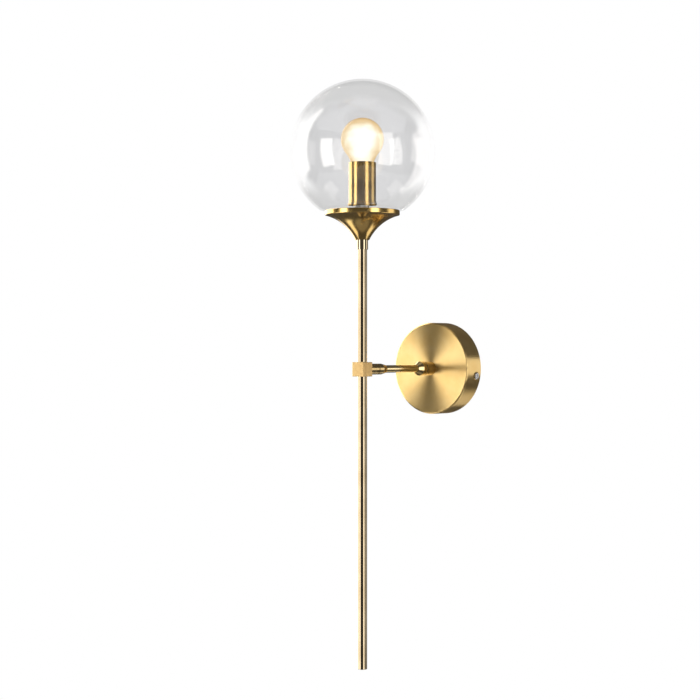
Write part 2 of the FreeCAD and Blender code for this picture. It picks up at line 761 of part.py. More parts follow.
def globe():
    """A blown sphere whose foot turns in over the rim and down into it as a short neck."""
    shoulder_low = rim_top + s.globe_over_rim
    shoulder = globe_neck + s.globe_spread
    shoulder_height = leg(s.globe_radius - s.globe_shoulder, shoulder)
    high = shoulder_low + s.globe_shoulder + shoulder_height
    inner_radius = s.globe_radius - s.globe_wall
    inner_bend = s.globe_shoulder - s.globe_wall
    out_share = s.globe_radius / (s.globe_radius - s.globe_shoulder)
    in_share = inner_radius / (s.globe_radius - s.globe_shoulder)
    foot = gasket_top + s.rest_gap
    bend = globe_neck + s.globe_fillet
    neck_inner = globe_neck - s.globe_wall
    fillet_inner = s.globe_fillet + s.globe_wall
    fillet_low = shoulder_low - s.globe_fillet
    on_rod(turned("globe", [
        (neck_inner, foot), (globe_neck, foot), (globe_neck, fillet_low),
        (bend, shoulder_low, s.globe_fillet, -1), (shoulder, shoulder_low),
        (shoulder * out_share, high - shoulder_height * out_share, s.globe_shoulder, 1),
        (s.globe_radius, high, s.globe_radius, 1), (ZERO, high + s.globe_radius, s.globe_radius, 1),
        (ZERO, high + inner_radius), (inner_radius, high, inner_radius, -1),
        (shoulder * in_share, high - shoulder_height * in_share, inner_radius, -1),
        (shoulder, shoulder_low + s.globe_wall, inner_bend, -1), (bend, shoulder_low + s.globe_wall),
        (neck_inner, fillet_low, fillet_inner, 1)]))


# ---------------------------------------------------------------- lamp holder

def holder_parts():
    ring_edge = s.foot_ring_edge
    on_rod(turned("sleeve_foot_ring", [
        (rod_hole, foot_ring_low), (s.foot_ring_radius - ring_edge, foot_ring_low),
        (s.foot_ring_radius, foot_ring_low + ring_edge), (s.foot_ring_radius, holder_foot - ring_edge),
        (s.foot_ring_radius - ring_edge, holder_foot), (rod_hole, holder_foot)]))
    rod_ring("holder_sleeve", s.sleeve_radius - s.sleeve_wall, s.sleeve_radius, holder_foot,
             holder_foot + s.sleeve_length)
    low = foot_ring_low - s.holder_nut_height
    nut = hexagon("holder_nut_blank", s.nut_radius, s.holder_nut_height, (0, -s.reach, low))
    cut("holder_nut", nut, [peg("holder_nut_hole", rod_hole, s.holder_nut_height * 3,
                                (0, -s.reach, low - s.holder_nut_height))])
    top = holder_foot + s.holder_length
    bore = s.cap_radius + s.socket_gap
    edge = s.holder_edge
    body = on_rod(turned("holder_blank", [
        (rod_hole, holder_foot), (s.holder_radius, holder_foot), (s.holder_radius, top - edge),
        (s.holder_radius - edge, top), (bore + edge, top), (bore, top - edge),
        (bore, socket_floor), (s.holder_wire_hole, socket_floor), (s.holder_wire_hole, rod_top),
        (rod_hole, rod_top)]))
    spring_out = bore + s.spring_thickness + s.bore_gap
    wide = s.spring_half_width + s.bore_gap
    channel_low = spring_low() - s.bore_gap
    cut("lamp_holder", body, [
        box("holder_channel", (0, -s.reach - wide, channel_low),
            (spring_out, wide - s.reach, socket_floor + s.spring_height)),
        box("holder_channel_mouth", (bore / 2, -s.reach - wide, socket_floor),
            (spring_out, wide - s.reach, socket_floor + s.spring_height))])
    rod_ring("holder_centre_contact", ZERO, s.contact_radius, socket_floor, contact_top)


def spring_low():
    return rod_top + s.holder_partition / 3


def side_contact():
    """An L of sprung strip: a foot over the neutral wire and a leg up the socket's wall."""
    bore = s.cap_radius + s.socket_gap
    back = bore + s.spring_thickness
    half = s.spring_half_width
    low = spring_low()
    foot = box("spring_foot", (s.spring_start, -s.reach - half, low),
               (back, half - s.reach, low + s.spring_thickness))
    upright = box("spring_leg", (bore, -s.reach - half, low),
                  (back, half - s.reach, socket_floor + s.spring_height - s.bore_gap))
    made = join("holder_side_contact", [foot, upright])
    made.Label = "holder_side_contact"


# ---------------------------------------------------------------- bulb

def bulb_parts():
    tip = bulb_tip
    centre = tip + s.bulb_length - s.bulb_radius
    glass_foot = tip + s.bulb_foot_height
    cap_foot = tip + s.cap_foot
    cap_top = glass_foot - s.cap_glass_gap
    neck_in_cap = s.cap_radius - s.cap_thread_depth - s.cap_wall - s.bore_gap
    # glass: ball, fillet, neck, rounded foot, and a collar that sits inside the cap
    side = s.bulb_neck + s.bulb_fillet
    drop = leg(s.bulb_radius + s.bulb_fillet, side)
    share = s.bulb_radius / (s.bulb_radius + s.bulb_fillet)
    inner_share = (s.bulb_radius - s.bulb_glass) / (s.bulb_radius + s.bulb_fillet)
    inner_fillet = s.bulb_fillet + s.bulb_glass
    foot_corner = glass_foot + s.bulb_foot_round
    inner_round = s.bulb_foot_round - s.bulb_glass
    collar_low = glass_foot - s.bulb_collar
    round_start = s.bulb_neck - s.bulb_foot_round
    on_rod(turned("bulb_glass", [
        (neck_in_cap - s.bulb_glass, collar_low), (neck_in_cap, collar_low), (neck_in_cap, glass_foot),
        (round_start, glass_foot), (s.bulb_neck, foot_corner, s.bulb_foot_round, 1),
        (s.bulb_neck, centre - drop),
        (side * share, centre - drop * share, s.bulb_fillet, -1),
        (s.bulb_radius, centre, s.bulb_radius, 1), (ZERO, centre + s.bulb_radius, s.bulb_radius, 1),
        (ZERO, centre + s.bulb_radius - s.bulb_glass),
        (s.bulb_radius - s.bulb_glass, centre, s.bulb_radius - s.bulb_glass, -1),
        (side * inner_share, centre - drop * inner_share, s.bulb_radius - s.bulb_glass, -1),
        (s.bulb_neck - s.bulb_glass, centre - drop, inner_fillet, 1),
        (s.bulb_neck - s.bulb_glass, foot_corner),
        (round_start, glass_foot + s.bulb_glass, inner_round, -1),
        (neck_in_cap - s.bulb_glass, glass_foot + s.bulb_glass)]))
    # screw cap: rounded crests outside, plain inside, and a flange under the glass
    crest = s.cap_radius
    hollow = s.cap_radius - s.cap_thread_depth
    inside = hollow - s.cap_wall
    steps = [(inside, cap_foot), (hollow, cap_foot)]
    level = cap_foot
    for turn_number in range(CAP_TURNS):
        for radius, share in zip((hollow, crest, crest, hollow), THREAD_SHAPE):
            steps.append((radius, level + s.cap_thread_pitch * share))
        level = level + s.cap_thread_pitch
    flange_low = cap_top - s.cap_flange_height
    steps += [(hollow, flange_low), (s.cap_flange, flange_low + s.cap_flange_slope),
              (s.cap_flange, cap_top), (inside, cap_top)]
    on_rod(turned("bulb_cap", steps))
    # insulator between cap and contact
    tip_top = tip + s.tip_height
    on_rod(turned("bulb_insulator", [
        (ZERO, tip_top), (s.tip_radius + s.insulator_lip, tip_top), (hollow - s.insulator_inset, cap_foot),
        (ZERO, cap_foot)]))
    on_rod(turned("bulb_contact", [
        (ZERO, tip), (s.tip_radius * TIP_FLAT, tip), (s.tip_radius, tip + s.tip_height / 2),
        (s.tip_radius, tip_top), (ZERO, tip_top)]))
    # stem: a flare that closes the collar, and a column for the leads
    flare = neck_in_cap - s.bulb_glass - s.bore_gap
    stem_top = collar_low + s.stem_height
    on_rod(turned("bulb_stem", [
        (ZERO, collar_low), (flare, collar_low), (flare, collar_low + s.stem_flare_edge),
        (s.stem_radius, collar_low + s.stem_flare_height), (s.stem_radius, stem_top), (ZERO, stem_top)]))
    filament_z = collar_low + s.filament_height
    ring = doc.addObject("Part::Torus", "bulb_filament")
    ring.Label = "bulb_filament"
    ring.Angle3 = 180
    bind(ring, "Radius1", s.filament_ring)
    bind(ring, "Radius2", s.filament_radius)
    place(ring, 0, -s.reach, filament_z)
    leads = []
    rise = filament_z - s.filament_radius - s.lead_gap - stem_top
    for name, outward in (("right", 1), ("left", -1)):
        spread = s.filament_ring - s.lead_start
        lean = root(rise * rise + spread * spread)
        lead = doc.addObject("Part::Cylinder", f"bulb_lead_{name}")
        bind(lead, "Radius", s.lead_radius)
        bind(lead, "Height", lean)
        angle = Size(f"(atan({spread.text} / {rise.text}) * {outward})",
                     math.degrees(math.atan(spread.value / rise.value)) * outward)
        lead.Placement = FreeCAD.Placement(
            FreeCAD.Vector(0, 0, 0), FreeCAD.Rotation(FreeCAD.Vector(0, 1, 0), angle.value))
        bind(lead, "Placement.Rotation.Angle", angle)
        leads.append(place(lead, s.lead_start * outward, -s.reach, stem_top + s.lead_radius))
    group("bulb_leads", leads)


# ---------------------------------------------------------------- wires

def now(*sizes):
    return FreeCAD.Vector(*(as_size(size).value for size in sizes))


def wire(label, points, bend):
    """One insulated wire: straight runs joined by tangent arcs, none wider than the bend."""
    radius = s.wire_radius.value
    edges = []
    at = points[0]
    for corner, after in zip(points[1:-1], points[2:]):
        run_in = (corner - at).normalize()
        run_out = (after - corner).normalize()
        turn = run_in.getAngle(run_out)
        room = BEND_ROOM * min((corner - at).Length, (after - corner).Length)
        back = min(room, bend * math.tan(turn / 2))
        arc_start = corner - run_in * back
        arc_end = corner + run_out * back
        inward = (run_out - run_in).normalize()
        arc_radius = back / math.tan(turn / 2)
        middle = corner + inward * (arc_radius / math.cos(turn / 2) - arc_radius)
        edges.append(Part.LineSegment(at, arc_start).toShape())
        edges.append(Part.Arc(arc_start, middle, arc_end).toShape())
        print(label, "bend radius", round(arc_radius, 2))
        at = arc_end
    edges.append(Part.LineSegment(at, points[-1]).toShape())
    route = Part.Wire(edges)
    start = edges[0].valueAt(edges[0].FirstParameter)
    section = Part.Face(Part.Wire(Part.Circle(start, edges[0].tangentAt(edges[0].FirstParameter),
                                              radius).toShape()))
    tube = route.makePipe(section)
    print(label, "length", round(route.Length, 1), "volume share",
          round(tube.Volume / (math.pi * radius ** 2 * route.Length), 4))
    made = doc.addObject("Part::Feature", label)
    made.Label = label
    made.Shape = tube


def wires():
    """Live and neutral run from the block through nipple, arm, cube and rod, a spread apart."""
    pole_y = -pole_depth()
    pole_end = block_middle() + s.pole_screw_spread - s.wire_in_pole
    bend = s.wire_bend.value
    for label, x, side, end in (("live_wire", -s.pole_pitch, -1, socket_floor),
                                ("neutral_wire", ZERO, 1, spring_low())):
        lane = s.wire_spread * side
        wire(label, [
            now(x, pole_y, pole_end), now(x, pole_y, s.wire_over_block - s.block_top),
            now(lane, pole_y, -s.wire_turn_in),
            now(lane, pole_y, 0), now(lane, -s.reach, 0), now(lane, -s.reach, end)], bend)
    beside = s.earth_screw_place - s.earth_screw_shank - s.wire_radius - s.shank_gap
    on_bracket = -s.bracket_thickness - s.wire_radius
    wire("earth_wire", [
        now(s.pole_pitch, pole_y, pole_end), now(s.pole_pitch, pole_y, s.earth_wire_over_block - s.block_top),
        now(beside, on_bracket, -s.earth_washer_radius - s.earth_wire_stand),
        now(beside, on_bracket, s.earth_wire_end)], bend)


# ---------------------------------------------------------------- build and write

wall_cover()
cover_screws()
wall_bracket()
terminal_block()
terminal_sleeves()
terminal_screws()
block_screw()
earth_parts()
arm()
cube_joint()
rods()
cup_parts()
globe()
holder_parts()
side_contact()
bulb_parts()
doc.recompute()
wires()
doc.recompute()

NODES = [
    "wall_cover", "cover_screws", "wall_bracket", "terminal_block", "terminal_sleeves", "terminal_screws",
    "block_screw", "earth_screw", "earth_washer", "plate_nipple", "plate_washer", "plate_nut",
    "plate_collar", "plate_cone", "arm_tube", "cube_collar", "cube_cone", "cube_joint",
    "upper_rod", "lower_rod", "rod_plug", "cup_ferrule", "cup", "cup_washer", "cup_nut", "globe_gasket",
    "globe", "sleeve_foot_ring", "holder_sleeve", "holder_nut", "lamp_holder", "holder_centre_contact",
    "holder_side_contact", "bulb_glass", "bulb_cap", "bulb_insulator", "bulb_contact", "bulb_stem",
    "bulb_filament", "bulb_leads", "live_wire", "neutral_wire", "earth_wire",
]

for thing in doc.Objects:
    if "Invalid" in thing.State or "Error" in thing.State:
        raise RuntimeError(f"{thing.Name} failed: {thing.State}")

os.makedirs("parts", exist_ok=True)
for node in NODES:
    shape = doc.getObjectsByLabel(node)[0].Shape
    if shape.isNull() or not shape.isValid():
        raise RuntimeError(f"{node} has no valid shape")
    shape.exportStep(f"parts/{node}.step")
    print(node, "solids", len(shape.Solids), "volume", round(shape.Volume, 1))
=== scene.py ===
# %% [markdown]
# # A globe wall light, dressed for its portrait
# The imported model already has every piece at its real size. This lesson loads it as a fixed frame and
# gives each piece its finish: brass, steel, glass, plastic and wire. Nothing is moved or resized.

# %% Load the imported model
import math
import bpy
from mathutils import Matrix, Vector


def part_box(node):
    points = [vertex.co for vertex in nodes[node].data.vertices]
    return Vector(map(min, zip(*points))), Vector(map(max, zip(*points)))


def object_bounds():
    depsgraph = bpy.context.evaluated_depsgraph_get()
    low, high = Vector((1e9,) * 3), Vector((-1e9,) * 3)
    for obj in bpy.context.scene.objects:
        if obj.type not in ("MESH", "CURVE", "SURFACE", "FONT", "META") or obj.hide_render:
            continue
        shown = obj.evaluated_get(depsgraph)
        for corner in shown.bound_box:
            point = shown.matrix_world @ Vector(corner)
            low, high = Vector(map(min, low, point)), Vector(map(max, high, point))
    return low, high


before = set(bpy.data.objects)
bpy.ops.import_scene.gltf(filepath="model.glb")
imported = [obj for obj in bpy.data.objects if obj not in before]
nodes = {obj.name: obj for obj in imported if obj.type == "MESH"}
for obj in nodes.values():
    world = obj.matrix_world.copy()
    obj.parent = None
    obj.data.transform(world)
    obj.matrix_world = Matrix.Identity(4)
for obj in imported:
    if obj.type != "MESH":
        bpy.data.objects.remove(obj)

cad_low, cad_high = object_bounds()
print("pieces:", len(nodes))
print("height in mm:", round((cad_high.z - cad_low.z) * 1000, 1))

# %% [markdown]
# ## The places that everything else is measured from
# The lamp has two lines: the rod, which is upright, and the arm, which runs to the wall. Most finishes
# follow one of them, because a lathe or a brush leaves its marks round or along such a line. Their
# places are read from the pieces themselves, so they stay right if the model changes. The globe's and
# the bulb's round parts both reach up to the top of their own box, which gives their centres.

# %% Lines and centres read from the frame
def middle(name):
    low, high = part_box(name)
    return (Vector(low) + Vector(high)) / 2


def ball(name):
    """Radius of a round piece, and the centre of its ball below its top."""
    low, high = (Vector(corner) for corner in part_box(name))
    radius = (high.x - low.x) / 2
    centre = (low + high) / 2
    return radius, Vector((centre.x, centre.y, high.z - radius))


rod_line = middle("upper_rod")
arm_line = middle("arm_tube")
globe_radius, globe_middle = ball("globe")
bulb_radius, bulb_middle = ball("bulb_glass")
print("rod stands", round(-rod_line.y * 1000, 1), "mm from the wall")
print("globe radius in mm:", round(globe_radius * 1000, 1))

# %% [markdown]
# ## Small helpers for shader nodes
# Shaders are graphs. Writing each node in three lines hides the idea behind the typing, so one helper
# adds a node, sets its options, and either fills an input with a value or wires another node into it.
# The others name the few kinds of node that every finish here is made of.

# %% Node helpers
def add(tree, kind, inputs=None, **options):
    made = tree.nodes.new(kind)
    for name, value in options.items():
        setattr(made, name, value)
    for key, value in (inputs or {}).items():
        if isinstance(value, bpy.types.NodeSocket):
            tree.links.new(value, made.inputs[key])
        else:
            made.inputs[key].default_value = value
    return made


def maths(tree, operation, *values, clamp=False):
    made = add(tree, "ShaderNodeMath", dict(enumerate(values)), operation=operation, use_clamp=clamp)
    return made.outputs[0]


def ramp(tree, value, low, high, to_low, to_high):
    """A soft step: to_low up to low, to_high from high on."""
    made = add(tree, "ShaderNodeMapRange", {
        "Value": value, "From Min": low, "From Max": high, "To Min": to_low, "To Max": to_high})
    made.interpolation_type = "SMOOTHSTEP"
    return made.outputs["Result"]


def place_in(tree, origin=(0, 0, 0)):
    """Coordinates in metres from a line or a centre on the lamp."""
    here = add(tree, "ShaderNodeTexCoord").outputs["Object"]
    return add(tree, "ShaderNodeVectorMath", {0: here, 1: tuple(origin)}, operation="SUBTRACT").outputs[0]


# Noise runs from 0 to 1, but most of it lies near one half. These are three spans round that half.
NOISE_WIDE = (0.30, 0.70)
NOISE_MIDDLE = (0.35, 0.65)
NOISE_NARROW = (0.38, 0.62)


def noise(tree, where, scale, detail, roughness=0.5):
    made = add(tree, "ShaderNodeTexNoise", {
        "Vector": where, "Scale": scale, "Detail": detail, "Roughness": roughness})
    return made.outputs[0]


# The mix node has sockets for numbers, vectors and colours under the same names, so colours go by place.
FIRST_COLOUR, SECOND_COLOUR, MIXED_COLOUR = 6, 7, 2


def shade_between(tree, share, deep, light):
    """The colour that lies between two, at a share from 0 to 1."""
    colours = {"Factor": share, FIRST_COLOUR: deep, SECOND_COLOUR: light}
    made = add(tree, "ShaderNodeMix", colours, data_type="RGBA")
    return made.outputs[MIXED_COLOUR]


# %% [markdown]
# ## Starting and using a finish
# Every finish starts with one principled surface. Most of them then drive three of its sockets: the
# colour, the roughness and a shallow relief. A finish goes onto its pieces by name, and says so.

# %% Finish helpers
def new_material(name):
    made = bpy.data.materials.new("finish_" + name)
    made.use_nodes = True
    tree = made.node_tree
    tree.nodes.clear()
    surface = add(tree, "ShaderNodeBsdfPrincipled")
    output = add(tree, "ShaderNodeOutputMaterial")
    tree.links.new(surface.outputs[0], output.inputs["Surface"])
    return made, tree, surface, output


def drive(tree, surface, colour, roughness, relief_from, relief, depth=0.0002):
    """Wire colour and roughness into the surface, and bump it by another value."""
    bump = add(tree, "ShaderNodeBump", {"Height": relief_from, "Strength": relief, "Distance": depth})
    tree.links.new(colour, surface.inputs["Base Color"])
    tree.links.new(roughness, surface.inputs["Roughness"])
    tree.links.new(bump.outputs[0], surface.inputs["Normal"])


def finish_pieces(material, *names):
    for name in names:
        piece = nodes[name]
        piece.data.materials.clear()
        piece.data.materials.append(material)
    print(material.name, "on", len(names), "pieces")


# %% [markdown]
# ## The camera
# The photo was taken from the lamp's right, level with a point a little above the arm. The lens is
# long, as for a catalogue picture, so the upright rod stays upright and the wall cover is a mild
# ellipse. The distance, the turn and the lens were solved from the outline of cover, cube and globe.

# %% Camera at the photo's viewing angle
CAMERA_TURN = math.radians(39.65)     # round the rod, from straight ahead
CAMERA_DISTANCE = 1.709               # from the rod's line
CAMERA_HEIGHT = 0.0201                # above the arm
CAMERA_YAW = math.radians(0.43)       # how far it looks past the rod
IMAGE_SIDE = 700
FOCAL_PIXELS = 1640
SENSOR = 36.0

camera_data = bpy.data.cameras.new("photo_camera")
camera_data.sensor_width = SENSOR
camera_data.lens = SENSOR * FOCAL_PIXELS / IMAGE_SIDE
camera_data.clip_start = 0.01
camera = bpy.data.objects.new("photo_camera", camera_data)
camera.location = (math.sin(CAMERA_TURN) * CAMERA_DISTANCE,
                   rod_line.y - math.cos(CAMERA_TURN) * CAMERA_DISTANCE, CAMERA_HEIGHT)
camera.rotation_euler = (math.radians(90), 0, CAMERA_TURN + CAMERA_YAW)
bpy.context.scene.collection.objects.link(camera)
bpy.context.scene.camera = camera
bpy.context.scene.view_settings.view_transform = "Standard"
print("lens in mm:", round(camera_data.lens, 1))

# %% [markdown]
# ## The studio, painted on the world
# Metal has no colour of its own to show: it shows the room. The photo's brass has narrow cream and
# brown stripes, which are bright windows and the dark studio between them. So the world is a studio:
# two windows, a white wing that lights the wall cover's fans, a card for the cover's rim, and two low
# reflectors. The cup's flare looks down and to the sides, so only those low ones give it its streaks.
# All are placed by compass direction round the lamp and by height above the horizon, never by where
# the camera stands. Their edges are soft over a few degrees, as a screen's are when it is near.

# %% Screens of the studio
# turn round the lamp (0 = out into the room, 90 = its right), height, half width, half height, strength
SCREENS = [
    (79, -1, 12, 24, 2.6),       # key window, right
    (-20, -4, 11, 19, 3.7),      # fill window, left
    (-94, 15, 33, 32, 3.0),      # white wing behind on the left
    (140, 2, 14, 13, 1.2),       # low card behind on the right
    (-70, -50, 38, 8, 1.5),      # low reflector, left
    (150, -48, 38, 9, 1.2),      # low reflector, right
    (0, 84, 180, 12, 0.3),       # ceiling
    (0, -80, 180, 12, 0.2),      # floor
]
SCREEN_EDGE = 2.0                # how far an edge is smeared, in degrees
STUDIO_DARK = 0.085
STUDIO_TINT = (1.0, 0.965, 0.92, 1)

world = bpy.data.worlds.new("studio")
bpy.context.scene.world = world
world.use_nodes = True
sky = world.node_tree
sky.nodes.clear()
look = add(sky, "ShaderNodeTexCoord").outputs["Generated"]
split = add(sky, "ShaderNodeSeparateXYZ", {0: look})
into_room = maths(sky, "MULTIPLY", split.outputs["Y"], -1.0)
turn = maths(sky, "DEGREES", maths(sky, "ARCTAN2", split.outputs["X"], into_room))
height = maths(sky, "DEGREES", maths(sky, "ARCSINE", split.outputs["Z"]))


def screen(at_turn, at_height, half_width, half_height, strength):
    """How much one screen adds to the light from each direction."""
    aside = maths(sky, "WRAP", maths(sky, "SUBTRACT", turn, at_turn), 180.0, -180.0)
    aside = maths(sky, "ABSOLUTE", aside)
    above = maths(sky, "ABSOLUTE", maths(sky, "SUBTRACT", height, at_height))
    across = ramp(sky, aside, half_width - SCREEN_EDGE, half_width + SCREEN_EDGE, 1, 0)
    upward = ramp(sky, above, half_height - SCREEN_EDGE, half_height + SCREEN_EDGE, 1, 0)
    return maths(sky, "MULTIPLY", maths(sky, "MULTIPLY", across, upward), strength)


glow = STUDIO_DARK
for values in SCREENS:
    glow = maths(sky, "ADD", screen(*values), glow)
studio = add(sky, "ShaderNodeBackground", {"Color": STUDIO_TINT, "Strength": glow})
print("screens:", len(SCREENS))

# %% [markdown]
# ## Who sees which world
# Only mirrored rays see the studio. Rays straight from the camera, or through clear glass, meet a plain
# white backdrop. Light that is scattered on plastic or wire comes from an even fill.

# %% World output
FILL_LIGHT = 0.85
MIRRORED_ONCE = 0.5              # a glossy depth above this has met a mirror

fill = add(sky, "ShaderNodeBackground", {"Color": (1, 1, 1, 1), "Strength": FILL_LIGHT})
backdrop = add(sky, "ShaderNodeBackground", {"Color": (1, 1, 1, 1), "Strength": 1.0})
path = add(sky, "ShaderNodeLightPath")
mirrored = maths(sky, "GREATER_THAN", path.outputs["Glossy Depth"], MIRRORED_ONCE)
straight = maths(sky, "MULTIPLY", path.outputs["Is Transmission Ray"], maths(sky, "SUBTRACT", 1.0, mirrored))
seen = maths(sky, "ADD", path.outputs["Is Camera Ray"], straight, clamp=True)
metal_or_fill = add(sky, "ShaderNodeMixShader", {0: mirrored, 1: fill.outputs[0], 2: studio.outputs[0]})
everything = add(sky, "ShaderNodeMixShader", {0: seen, 1: metal_or_fill.outputs[0], 2: backdrop.outputs[0]})
add(sky, "ShaderNodeOutputWorld", {"Surface": everything.outputs[0]})
print("backdrop strength:", backdrop.inputs["Strength"].default_value)

# %% [markdown]
# ## Floor
# A wall light needs no floor to stand on, but a pale one far below keeps views from above honest. It is
# mostly white to the camera, so only the lamp's shadow shows on it. It is clear from below, so that it
# never hides the lamp, and metal doesn't mirror it, because the studio has a floor of its own.

# %% Floor
FLOOR_DROP = 0.55                # below the rod's lower end
FLOOR_HALF = 1.6
FLOOR_PAINT = (0.86, 0.86, 0.86, 1)
WHITE_SHARE = 0.8

bpy.ops.mesh.primitive_plane_add(size=2 * FLOOR_HALF, location=(0, rod_line.y, cad_low.z - FLOOR_DROP))
floor = bpy.context.object
floor.name = "studio_floor"
floor_material, floor_tree, floor_surface, floor_output = new_material("pale_floor")
floor_surface.inputs["Base Color"].default_value = FLOOR_PAINT
floor_surface.inputs["Roughness"].default_value = 0.8
white = add(floor_tree, "ShaderNodeEmission", {"Color": (1, 1, 1, 1), "Strength": 1.0})
floor_path = add(floor_tree, "ShaderNodeLightPath")
watched = maths(floor_tree, "MAXIMUM", floor_path.outputs["Is Camera Ray"],
                floor_path.outputs["Is Transmission Ray"])
share = maths(floor_tree, "MULTIPLY", watched, WHITE_SHARE)
paint = add(floor_tree, "ShaderNodeMixShader", {0: share, 1: floor_surface.outputs[0], 2: white.outputs[0]})
below = add(floor_tree, "ShaderNodeNewGeometry").outputs["Backfacing"]
nothing = add(floor_tree, "ShaderNodeBsdfTransparent")
one_sided = add(floor_tree, "ShaderNodeMixShader", {0: below, 1: paint.outputs[0], 2: nothing.outputs[0]})
floor_tree.links.new(one_sided.outputs[0], floor_output.inputs["Surface"])
floor.data.materials.append(floor_material)
floor.visible_glossy = False
print("floor at", round(floor.location.z, 3))

# %% [markdown]
# ## Lamps
# Two large, weak area lamps give a little direction to the light on plastic, wire and rubber. They are
# hidden from the camera, from mirrors and from glass, and so leave the brass to the screens.

# %% Key and back lamp
def area_lamp(name, place, side, watts):
    data = bpy.data.lights.new(name, "AREA")
    data.size = side
    data.energy = watts
    lamp = bpy.data.objects.new(name, data)
    lamp.location = place
    lamp.rotation_mode = "QUATERNION"
    lamp.rotation_quaternion = (rod_line - Vector(place)).to_track_quat("-Z", "Y")
    lamp.visible_camera = False
    lamp.visible_glossy = False
    lamp.visible_transmission = False
    bpy.context.scene.collection.objects.link(lamp)
    print(name, "of", watts, "W")


area_lamp("key_lamp", (1.4, -1.3, 1.2), 1.0, 12)
area_lamp("back_lamp", (-1.2, 1.0, 0.9), 1.0, 6)

# %% [markdown]
# ## Brass
# Real antique brass is never one colour. The lacquer is a shade darker in patches, and polishing leaves
# hair lines that scatter the reflection. All brass here shares one recipe: metal with a warm base
# colour that drifts a little, hair lines that change the roughness, and the same lines as a very shallow
# bump. Only the way the lines run differs: along a tube, round a turned face, or straight over a cube.

# %% Brass recipe
CLOUD_SCALE = 38.0               # patches of about 25 mm
CLOUD_SHARE = 0.88               # how much of the drift in colour is patches
LINE_SHARE = 0.12                # and how much is hair lines


def hair_lines(tree, origin, stretch, scale, detail=1.5):
    """Noise drawn out along one way, so that it reads as fine parallel lines."""
    where = place_in(tree, origin)
    drawn_out = add(tree, "ShaderNodeVectorMath", {0: where, 1: stretch}, operation="MULTIPLY").outputs[0]
    return noise(tree, drawn_out, scale, detail)


def calmed(tree, lines, strength):
    """The same lines, closer to their mean of one half."""
    return maths(tree, "MULTIPLY_ADD", lines, strength, (1 - strength) / 2)


def brass(name, lines_from, rough, bump, light, deep):
    """Brass whose hair lines come from a function of its node tree."""
    made, tree, surface, _ = new_material(name)
    lines = lines_from(tree)
    cloud = noise(tree, place_in(tree), CLOUD_SCALE, 4.0, roughness=0.6)
    patches = maths(tree, "MULTIPLY", cloud, CLOUD_SHARE)
    drift = maths(tree, "ADD", patches, maths(tree, "MULTIPLY", lines, LINE_SHARE))
    colour = shade_between(tree, ramp(tree, drift, *NOISE_MIDDLE, 0, 1), deep, light)
    roughness = ramp(tree, lines, *NOISE_WIDE, *rough)
    drive(tree, surface, colour, roughness, lines, bump)
    surface.inputs["Metallic"].default_value = 1.0
    return made, tree, surface


print("brass drifts over about", round(1000 / CLOUD_SCALE), "mm")

# %% [markdown]
# ## Rods, sleeve and cup
# These are drawn or spun, then polished round their own line on a lathe, so the hair lines are rings.
# Rings come from noise that changes with height only. The rods are the smoothest and the greyest: their
# streaks are sharp in the photo. The sleeve and the spun cup are softer and warmer.

# %% Polished brass of the upright pieces
RING_SCALE = 500.0               # rings about 2 mm apart
ALONG_ROD = (0.03, 0.03, 1.0)


def rings_up(tree):
    return calmed(tree, hair_lines(tree, rod_line, ALONG_ROD, RING_SCALE), 0.4)


rod_brass, _, _ = brass("brass_polished", rings_up, rough=(0.06, 0.08), bump=0.0001,
                        light=(0.60, 0.50, 0.34, 1), deep=(0.50, 0.405, 0.26, 1))
sleeve_brass, _, _ = brass("brass_warm", rings_up, rough=(0.17, 0.23), bump=0.002,
                           light=(0.79, 0.55, 0.22, 1), deep=(0.65, 0.43, 0.16, 1))
cup_brass, _, _ = brass("brass_spun", rings_up, rough=(0.17, 0.22), bump=0.002,
                        light=(0.84, 0.59, 0.22, 1), deep=(0.72, 0.48, 0.17, 1))
finish_pieces(rod_brass, "upper_rod", "lower_rod", "rod_plug", "cup_ferrule")
finish_pieces(sleeve_brass, "sleeve_foot_ring", "holder_sleeve")
finish_pieces(cup_brass, "cup")

# %% [markdown]
# ## Arm, collars and cones
# The same brass, turned round the arm's line, so its rings change along Y. In the photo the arm tube is
# pale, and the collars and lock cones are a shade deeper and a little duller.

# %% Polished brass of the arm
ALONG_ARM = (0.03, 1.0, 0.03)


def rings_along_arm(tree):
    return hair_lines(tree, arm_line, ALONG_ARM, RING_SCALE)


arm_brass, _, _ = brass("brass_arm", rings_along_arm, rough=(0.11, 0.18), bump=0.003,
                        light=(1.0, 0.82, 0.46, 1), deep=(0.94, 0.74, 0.38, 1))
collar_brass, _, _ = brass("brass_collar", rings_along_arm, rough=(0.16, 0.24), bump=0.003,
                           light=(0.74, 0.56, 0.28, 1), deep=(0.62, 0.45, 0.20, 1))
finish_pieces(arm_brass, "arm_tube")
finish_pieces(collar_brass, "plate_collar", "plate_cone", "cube_collar", "cube_cone")

# %% [markdown]
# ## The wall cover's turned face
# A lathe tool leaves circles on the cover's face. Circles stretch a highlight across themselves, which
# gives the bright and dark fans in the photo. The shader does the same with anisotropy: the tangent runs
# round the arm's line, and the circles are noise that depends on the distance from that line. A quarter
# turn of the anisotropy stretches the light across the circles and not along them.

# %% Turned brass of the cover
CIRCLE_SCALE = 1400.0            # circles about 0.7 mm apart


def circles(tree):
    parts = add(tree, "ShaderNodeSeparateXYZ", {0: place_in(tree)})
    flat = add(tree, "ShaderNodeCombineXYZ", {0: parts.outputs[0], 1: 0.0, 2: parts.outputs[2]}).outputs[0]
    radius = add(tree, "ShaderNodeVectorMath", {0: flat}, operation="LENGTH").outputs["Value"]
    spun = add(tree, "ShaderNodeCombineXYZ", {0: radius, 1: parts.outputs[1], 2: 0.0}).outputs[0]
    return calmed(tree, noise(tree, spun, CIRCLE_SCALE, 2.0), 0.3)


